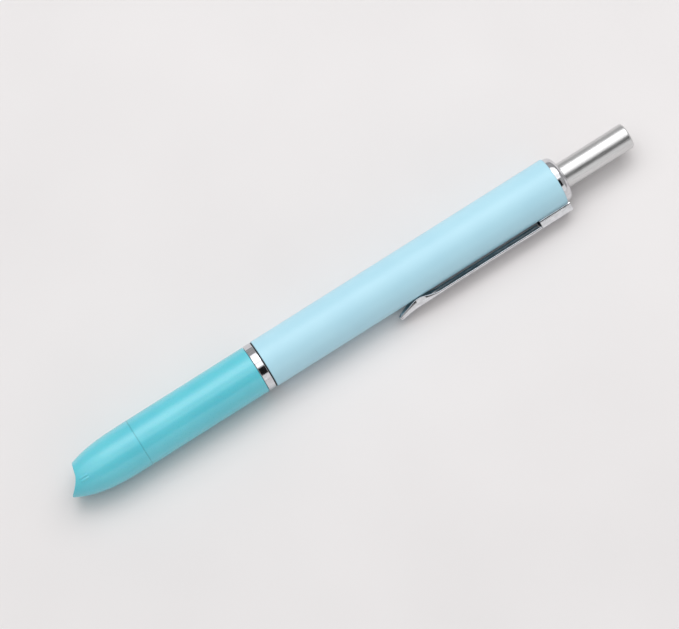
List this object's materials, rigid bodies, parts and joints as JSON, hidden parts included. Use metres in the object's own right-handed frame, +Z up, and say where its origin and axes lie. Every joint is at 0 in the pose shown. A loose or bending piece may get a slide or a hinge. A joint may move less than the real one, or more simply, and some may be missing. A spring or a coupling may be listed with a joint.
{
  "type": "retractable highlighter",
  "caption": "Slim push-button highlighter: beak-shaped nose with a trap door over the nib, two-tone barrel, chrome ring, sprung pocket clip and satin metal button.",
  "frame": {"origin": "middle of the bounding box's underside, on the surface that the pen lies on", "axes": "+X along the pen from the nose to the button, +Z up, -Y towards the clip"},
  "size_m": [0.1542, 0.0142, 0.012],
  "materials": {
    "nose_plastic": "satin gloss moulding, slightly translucent",
    "barrel_plastic": "satin, faint pearl",
    "chrome_trim": "polished plating",
    "satin_metal": "fine satin",
    "white_plastic": "plain moulding",
    "grey_plastic": "plain moulding",
    "seal_rubber": "matt",
    "ink_fibre": "ink-soaked fibre",
    "spring_steel": "bright wire"
  },
  "bodies": {
    "casing": {"nose_shell": "nose_plastic", "seal_tube": "white_plastic", "door_gasket": "seal_rubber", "door_pin": "spring_steel", "grip_tube": "nose_plastic", "joint_sleeve": "grey_plastic", "centre_ring": "chrome_trim", "ring_washer": "seal_rubber", "barrel": "barrel_plastic", "cam_sleeve": "white_plastic", "button_bush": "white_plastic", "rear_collar": "chrome_trim", "clip_mount": "chrome_trim", "return_spring": "spring_steel"},
    "door": {"seal_door": "white_plastic", "door_spring": "spring_steel"},
    "button": {"button_cap": "satin_metal", "button_plunger": "grey_plastic"},
    "rotor": {"cam_rotor": "nose_plastic"},
    "refill": {"refill_plug": "grey_plastic", "refill_tube": "white_plastic", "ink_core": "ink_fibre", "feed_wick": "ink_fibre", "nib_holder": "white_plastic", "carrier_ring": "seal_rubber", "nib": "ink_fibre"},
    "clip": {"clip_arm": "chrome_trim"}
  },
  "joints": [
    {"name": "button_press", "type": "slide", "parent": "casing", "child": "button", "axis": [-1, 0, 0], "range_m": [0, 0.015], "stiffness_N_per_m": 120},
    {"name": "refill_slide", "type": "slide", "parent": "casing", "child": "refill", "axis": [-1, 0, 0], "range_m": [0, 0.015], "stiffness_N_per_m": 180, "deforming": ["return_spring"]},
    {"name": "rotor_turn", "type": "hinge", "parent": "button", "child": "rotor", "pos_m": [0.032, 0.00107, 0.006], "axis": [1, 0, 0], "range_deg": [0, 45.1]},
    {"name": "door_swing", "type": "hinge", "parent": "casing", "child": "door", "pos_m": [-0.06645, 0.00398, 0.00707], "axis": [0, 0.342, -0.9397], "range_deg": [0, 59.3], "stiffness_Nm_per_rad": 0.0002},
    {"name": "clip_flex", "type": "hinge", "parent": "casing", "child": "clip", "pos_m": [0.0483, -0.00549, 0.00236], "axis": [0, -0.4854, 0.8743], "range_deg": [0, 4], "stiffness_Nm_per_rad": 1.5}
  ],
  "couplings": [
    {"joint": "refill_slide", "follows": "button_press", "ratio": 1},
    {"joint": "rotor_turn", "follows": "button_press", "rad_per_m": 52.36},
    {"joint": "door_swing", "follows": "button_press", "rad_per_m": 68.94}
  ]
}
